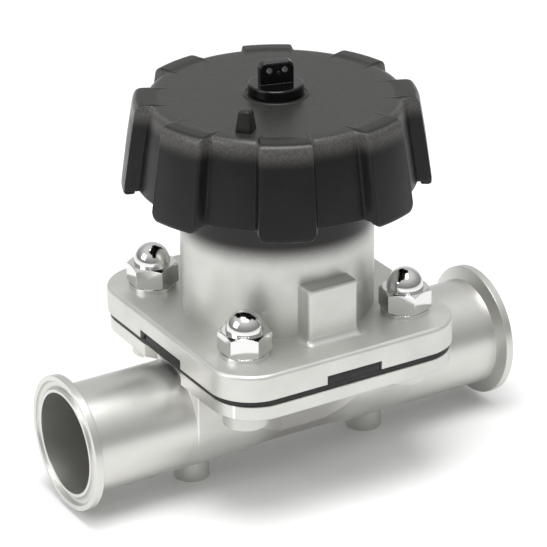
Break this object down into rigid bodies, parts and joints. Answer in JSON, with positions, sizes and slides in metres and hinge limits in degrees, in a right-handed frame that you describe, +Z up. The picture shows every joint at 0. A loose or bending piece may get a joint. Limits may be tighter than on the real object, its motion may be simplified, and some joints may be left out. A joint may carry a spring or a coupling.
{
  "type": "diaphragm valve",
  "caption": "Weir-type diaphragm valve with clamp-ferrule pipe ends, a square bolted bonnet with dome nuts and a lobed handwheel.",
  "frame": {"origin": "centre of the bounding box at its bottom, which is the plane of the feet, under the spindle axis", "axes": "+Z up along the spindle, +X along the pipe, +Y across the pipe away from the side with the front pad"},
  "size_m": [0.18, 0.1122, 0.1569],
  "materials": {
    "cast_steel": "satin, bead-blasted stainless casting",
    "polished_steel": "bright, machined and polished stainless",
    "machined_steel": "fine machined",
    "bronze": "machined bearing bronze",
    "black_grip": "fine-grained satin black",
    "black_gloss": "glossy black",
    "white_ptfe": "smooth white",
    "black_rubber": "matte moulded elastomer"
  },
  "bodies": {
    "housing": {"valve_body": "cast_steel", "diaphragm": "black_rubber", "bonnet": "cast_steel", "bonnet_studs": "machined_steel", "stud_washers": "polished_steel", "dome_nuts": "polished_steel", "guide_bush": "bronze", "spindle_seal": "black_rubber", "lower_thrust_washer": "white_ptfe", "upper_thrust_washer": "white_ptfe", "gland_ring": "machined_steel"},
    "wheel": {"handwheel": "black_grip", "hub_insert": "machined_steel", "drive_nut": "bronze", "neck_seal": "black_rubber", "wheel_washer": "polished_steel", "wheel_screw": "polished_steel"},
    "stem": {"spindle": "machined_steel", "compressor": "machined_steel", "compressor_pin": "machined_steel", "diaphragm_stud": "machined_steel"},
    "cap": {"seal_cap": "black_gloss", "cap_seal": "black_rubber"}
  },
  "joints": [
    {"name": "handwheel_turn", "type": "hinge", "parent": "housing", "child": "wheel", "pos_m": [0, 0, 0.1], "axis": [0, 0, 1], "range_deg": [-1260, 0]},
    {"name": "spindle_travel", "type": "slide", "parent": "housing", "child": "stem", "axis": [0, 0, 1], "range_m": [-0.0175, 0], "deforming": ["diaphragm"]},
    {"name": "cap_turn", "type": "hinge", "parent": "wheel", "child": "cap", "pos_m": [0, 0, 0.1445], "axis": [0, 0, 1], "range_deg": [0, 90]}
  ],
  "couplings": [
    {"joint": "spindle_travel", "follows": "handwheel_turn", "m_per_rad": 0.00079577}
  ]
}
